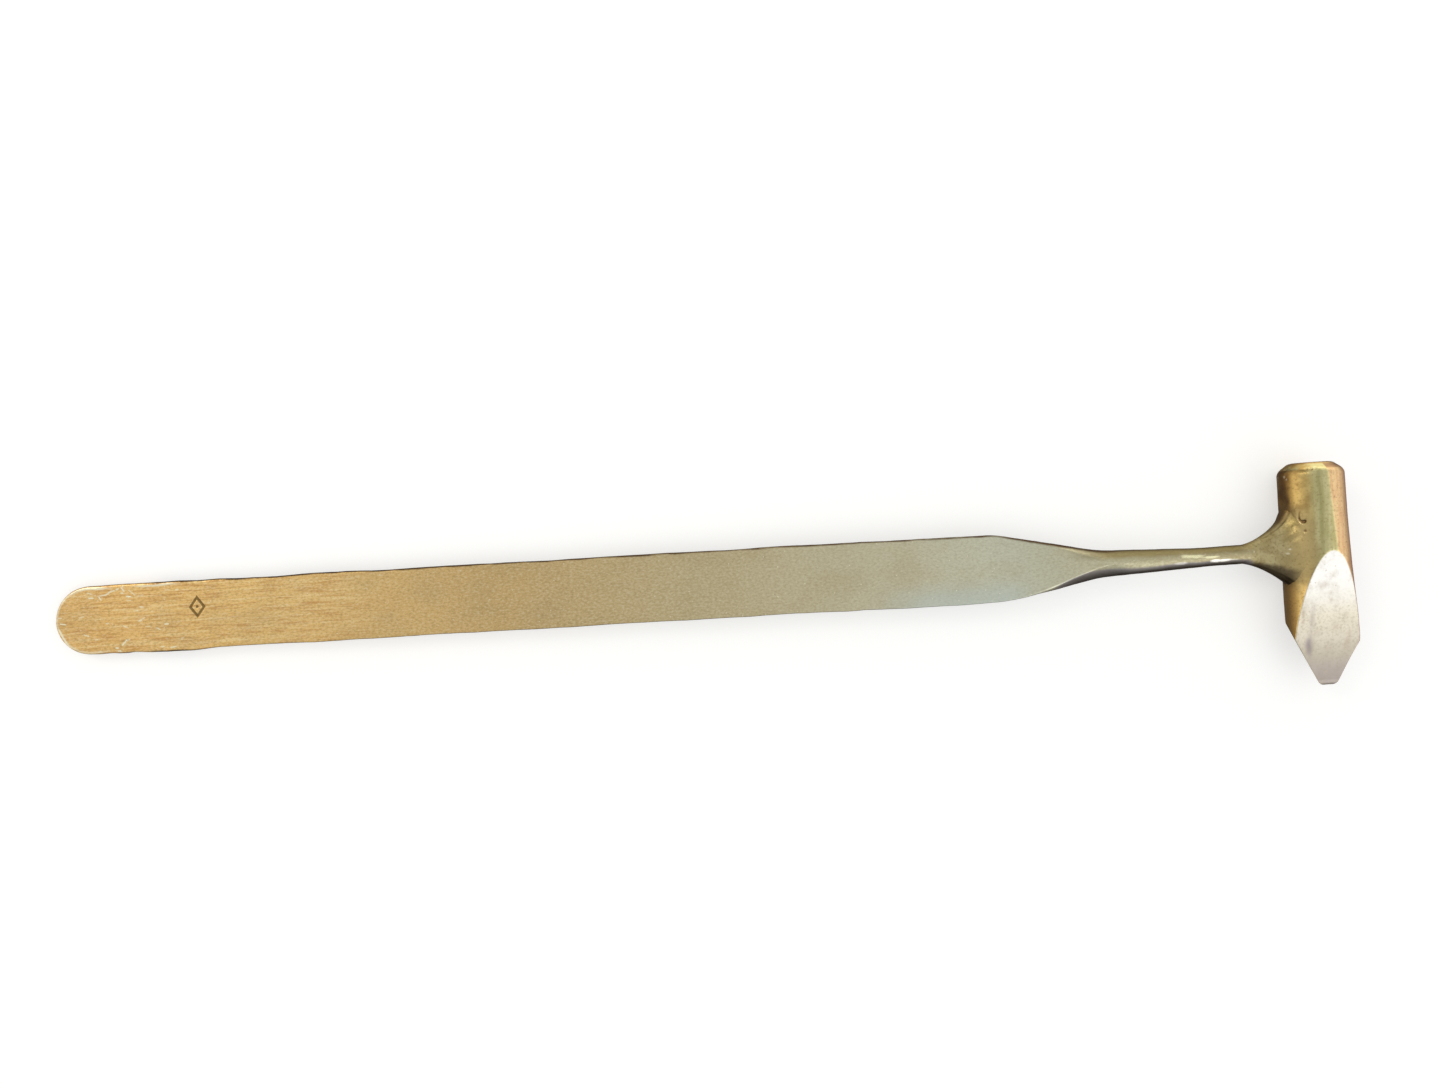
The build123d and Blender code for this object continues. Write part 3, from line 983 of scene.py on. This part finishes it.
def barrel_tone(s, mottle, fine):
    """Colour of the barrel: gold, an olive band that is partly tarnish and partly a painted dim
    reflection, a rubbed far side, and painted shade on the near and far sides.
    """
    base = s.mix(s.ramp(mottle, 0.38, 0.64), tone(238, 204, 130), tone(180, 145, 86))
    along_lines = s.noise((1500, 220, 1500), detail=3.0, roughness=0.6)
    brown = s.mix(s.ramp(mottle, 0.38, 0.64), tone(183, 161, 106), tone(153, 130, 80))
    base = s.mix(s.mark("brown"), base, brown)
    # The olive band and its darker seam are partly tarnish and partly a painted dim reflection
    olive = s.mix(s.ramp(along_lines, 0.38, 0.64), tone(190, 182, 130), tone(204, 196, 148))
    base = s.mix(s.mark("olive"), base, olive)
    base = s.mix(s.share("seam", 0.5), base, tone(156, 150, 100))
    base = s.mix(s.share("below", 0.8), base, tone(248, 214, 140))
    base = s.mix(s.share("joint", 0.85), base, tone(173, 156, 112))
    rubbed = s.mix(s.ramp(along_lines, 0.40, 0.66), tone(238, 206, 156), tone(228, 186, 140))
    base = s.mix(s.mark("rubbed"), base, rubbed)
    base = s.mix(s.share("far_shade", 0.8), base, tone(188, 114, 106))
    base = s.mix(s.share("fringe", 0.6), base, tone(242, 230, 172))
    base = s.mix(s.share("shade", 0.55), base, tone(150, 122, 94))
    base = s.mix(s.ramp(fine, 0.48, 0.74, 0.0, 0.42), base, tone(122, 94, 56))
    base = s.mix(s.mark("glint"), base, tone(255, 250, 230))
    return s.mix(s.ramp(s.mark("pitted"), 0.1, 0.8, 0.0, 0.75), base, tone(98, 64, 30))


def head_brass():
    s = Shader("head_brass")
    mottle, fine = brass_noises(s)
    base = barrel_tone(s, mottle, fine)
    rim_wear = s.mix(s.ramp(mottle, 0.40, 0.62), tone(255, 248, 186), tone(248, 212, 134))
    base = s.mix(s.share("rim", 0.85), base, rim_wear)
    far_rim = s.times(s.mark("rim"), s.mark("rubbed"))
    base = s.mix(s.times(far_rim, 0.9), base, tone(194, 152, 116))
    battered = s.mix(s.ramp(mottle, 0.40, 0.62), tone(242, 206, 142), tone(206, 168, 106))
    pocks = s.ramp(s.cells((900, 900, 900)), 0.30, 0.12, 0.0, 0.5)
    battered = s.mix(pocks, battered, tone(160, 122, 70))
    base = s.mix(s.mark("struck"), base, battered)
    # Ground facets: bare, with a painted reflection that is near white at the top and greyer towards the
    # tip, blotches, a greyish patch and small soiling
    ground = s.math("MAXIMUM", s.mark("facet"), s.mark("bevel"))
    blotch = s.noise((420, 320, 420), detail=5.0, roughness=0.65)
    facet_tone = s.stops(s.mark("towards_tip"), [
        (0.0, tone(226, 224, 220)),
        (0.35, tone(208, 200, 182)),
        (0.65, tone(196, 188, 172)),
        (0.85, tone(178, 170, 154)),
        (1.0, tone(164, 154, 148)),
    ])
    facet_tone = s.mix(s.ramp(blotch, 0.46, 0.72, 0.0, 0.45), facet_tone, tone(186, 174, 158))
    facet_tone = s.mix(s.share("grey_patch", 0.85), facet_tone, tone(138, 128, 134))
    facet_tone = s.mix(s.share("soil", 0.8), facet_tone, tone(150, 128, 104))
    spots = s.ramp(s.cells((620, 700, 620)), 0.16, 0.06, 0.0, 0.4)
    facet_tone = s.mix(spots, facet_tone, tone(166, 150, 132))
    speckle = s.ramp(s.mark("towards_tip"), 0.0, 0.45, 0.2, 1.0)
    speckle = s.times(s.ramp(fine, 0.44, 0.72, 0.0, 0.55), speckle)
    facet_tone = s.mix(speckle, facet_tone, tone(160, 150, 134))
    base = s.mix(ground, base, facet_tone)
    rough = s.mix(ground, s.ramp(fine, 0.3, 0.8, 0.28, 0.42), s.ramp(blotch, 0.3, 0.8, 0.30, 0.40))
    normal = s.bump(fine, 0.00004, 0.6)
    grind_lines = s.noise((900, 5200, 900), detail=2.0)
    normal = s.bump(s.times(grind_lines, ground), 0.00001, 0.5, Normal=normal)
    return s.finish(base, rough, normal)


def braze_metal():
    s = Shader("braze_metal")
    mottle, fine = brass_noises(s)
    base = s.mix(s.ramp(mottle, 0.36, 0.66), tone(184, 171, 130), tone(164, 148, 106))
    base = s.mix(s.ramp(fine, 0.48, 0.74, 0.0, 0.58), base, tone(110, 92, 60))
    base = s.mix(s.ramp(s.mark("share"), 0.25, 0.0), base, tone(178, 162, 118))
    base = s.mix(s.ramp(s.mark("share"), 0.55, 0.88), base, barrel_tone(s, mottle, fine))
    # Painted shade on the collar's upper flank
    base = s.mix(s.share("upper_flank_shade", 0.65), base, tone(140, 124, 74))
    # Painted shade, with some dark oxide, under the collar
    base = s.mix(s.share("under", 0.8), base, tone(76, 64, 52))
    # Browner on the neck's upper side, painted shade round its lower side
    base = neck_tone_and_shade(s, base)
    brazed_rough, barrel_rough = s.ramp(fine, 0.3, 0.8, 0.48, 0.62), s.ramp(fine, 0.3, 0.8, 0.28, 0.42)
    rough = s.mix(s.ramp(s.mark("share"), 0.55, 0.9), brazed_rough, barrel_rough)
    normal = s.bump(fine, 0.00005, 0.6)
    return s.finish(base, rough, normal)


# ---- Stage: floor, light and camera ----
FLOOR_RADIUS, COVE_RADIUS, WALL_HEIGHT = 2.2, 1.2, 3.5
FLOOR_SIDES = 96
KEY_DIRECTION = (-0.62, 0.45, 0.65)
KEY_DISTANCE = 1.2
KEY_SIZE = (0.35, 0.35)
KEY_POWER = 1.6
KEY_COLOUR = (1.0, 0.97, 0.92)
CAMERA_FOOT = (-111.5, 7.89)
CAMERA_HEIGHT = 191.7
CAMERA_ROLL = 3.28
CAMERA_LENS = 25.29


def build_floor():
    """A pale floor under the head and the end of the grip, which runs up into a wall.

    It catches shadows, but the metal doesn't reflect it: all reflections come from the world.
    """
    material = bpy.data.materials.new("pale_floor")
    material.use_nodes = True
    surface = material.node_tree.nodes["Principled BSDF"]
    surface.inputs["Base Color"].default_value = (0.55, 0.55, 0.55, 1)
    surface.inputs["Roughness"].default_value = 0.9
    surface.inputs["Specular IOR Level"].default_value = 0.0
    surface.inputs["Emission Color"].default_value = (1, 1, 1, 1)
    surface.inputs["Emission Strength"].default_value = 0.53
    turn = np.linspace(0, math.pi / 2, 24)
    reach = np.r_[FLOOR_RADIUS, FLOOR_RADIUS + COVE_RADIUS * np.sin(turn), FLOOR_RADIUS + COVE_RADIUS]
    height = np.r_[0, COVE_RADIUS * (1 - np.cos(turn)), WALL_HEIGHT]
    around = np.linspace(0, 2 * math.pi, FLOOR_SIDES, endpoint=False)
    points = [(r * math.cos(a), r * math.sin(a), h) for r, h in zip(reach, height) for a in around]
    faces = [tuple(range(FLOOR_SIDES))]
    for ring in range(len(reach) - 1):
        low, high = ring * FLOOR_SIDES, (ring + 1) * FLOOR_SIDES
        for i in range(FLOOR_SIDES):
            j = (i + 1) % FLOOR_SIDES
            faces.append((low + i, high + i, high + j, low + j))
    mesh = bpy.data.meshes.new("floor")
    mesh.from_pydata(points, [], faces)
    mesh.materials.append(material)
    mesh.polygons.foreach_set("use_smooth", [True] * len(mesh.polygons))
    floor = bpy.data.objects.new("floor", mesh)
    floor.location = (CROSSING[0] * MM, 0, -0.0001)
    tilt = math.atan((CROSSING[2] - GRIP_HALF_THICKNESS) / HANDLE_LENGTH)
    floor.rotation_euler = (0, tilt, 0)
    bpy.context.scene.collection.objects.link(floor)
    floor.visible_glossy = False
    floor.visible_diffuse = False
    floor.visible_shadow = False


SKY = (0.70, 0.71, 0.69)
GROUND = (0.13, 0.11, 0.10)
# Broad soft patches of the studio: direction, cosines where they end and are full, added light
PATCHES = (
    ((-0.95, 0.10, 0.12), 0.45, 0.95, (0.26, 0.21, 0.14)),
    ((0.95, -0.05, 0.15), 0.40, 0.95, (0.28, 0.24, 0.22)),
    ((0.54, -0.46, 0.70), 0.88, 0.99, (0.72, 0.74, 0.76)),
    ((0.36, 0.92, -0.06), 0.66, 0.95, (0.68, 0.64, 0.51)),
)
# The wall on the peen's side of the hammer is dim
DIM_SIDE = ((-0.35, -0.90, -0.25), 0.70, 0.97, (0.30, 0.30, 0.32))


def build_world():
    """A plain bright studio with broad soft patches, dim below the floor line."""
    world = bpy.data.worlds.new("studio")
    bpy.context.scene.world = world
    world.use_nodes = True
    w = Nodes(world.node_tree)
    toward = w.add("TexCoord").outputs["Generated"]

    def patch(direction, outer, full):
        """Share of a patch in one direction of view: 1 within it, 0 outside."""
        unit = np.array(direction) / np.linalg.norm(direction)
        return w.ramp(w.operate("VectorMath", "DOT_PRODUCT", toward, unit.tolist()), outer, full)

    light = w.mix(patch((0, 0, 1), -0.25, 0.12), (*GROUND, 1), (*SKY, 1))
    for direction, outer, full, colour in PATCHES:
        light = w.mix(patch(direction, outer, full), light, (*colour, 1), "ADD")
    direction, outer, full, colour = DIM_SIDE
    light = w.mix(patch(direction, outer, full), light, (*colour, 1), "MULTIPLY")
    w.feed(w.nodes["Background"].inputs["Color"], light)


def build_key_light():
    """One soft rectangle, up and to the left, that shines at the middle of the hammer."""
    data = bpy.data.lights.new("key", "AREA")
    data.shape = "RECTANGLE"
    data.size, data.size_y = KEY_SIZE
    data.energy = KEY_POWER
    data.color = KEY_COLOUR
    light = bpy.data.objects.new("key", data)
    toward_light = mathutils.Vector(KEY_DIRECTION).normalized()
    light.location = toward_light * KEY_DISTANCE
    light.rotation_mode = "QUATERNION"
    light.rotation_quaternion = toward_light.to_track_quat("Z", "Y")
    bpy.context.scene.collection.objects.link(light)


def build_camera():
    data = bpy.data.cameras.new("camera")
    data.sensor_width = 36
    data.lens = CAMERA_LENS
    data.clip_start, data.clip_end = 0.01, 20
    camera = bpy.data.objects.new("camera", data)
    place = CROSSING + [CAMERA_FOOT[0], CAMERA_FOOT[1], CAMERA_HEIGHT]
    camera.location = place * MM
    camera.rotation_euler = (0, 0, -math.radians(CAMERA_ROLL))
    bpy.context.scene.collection.objects.link(camera)
    bpy.context.scene.camera = camera


build_camera()
build_handle(handle_brass())
build_head(head_brass())
build_braze(braze_metal())
build_floor()
build_world()
build_key_light()
bpy.context.scene.view_settings.view_transform = "Standard"
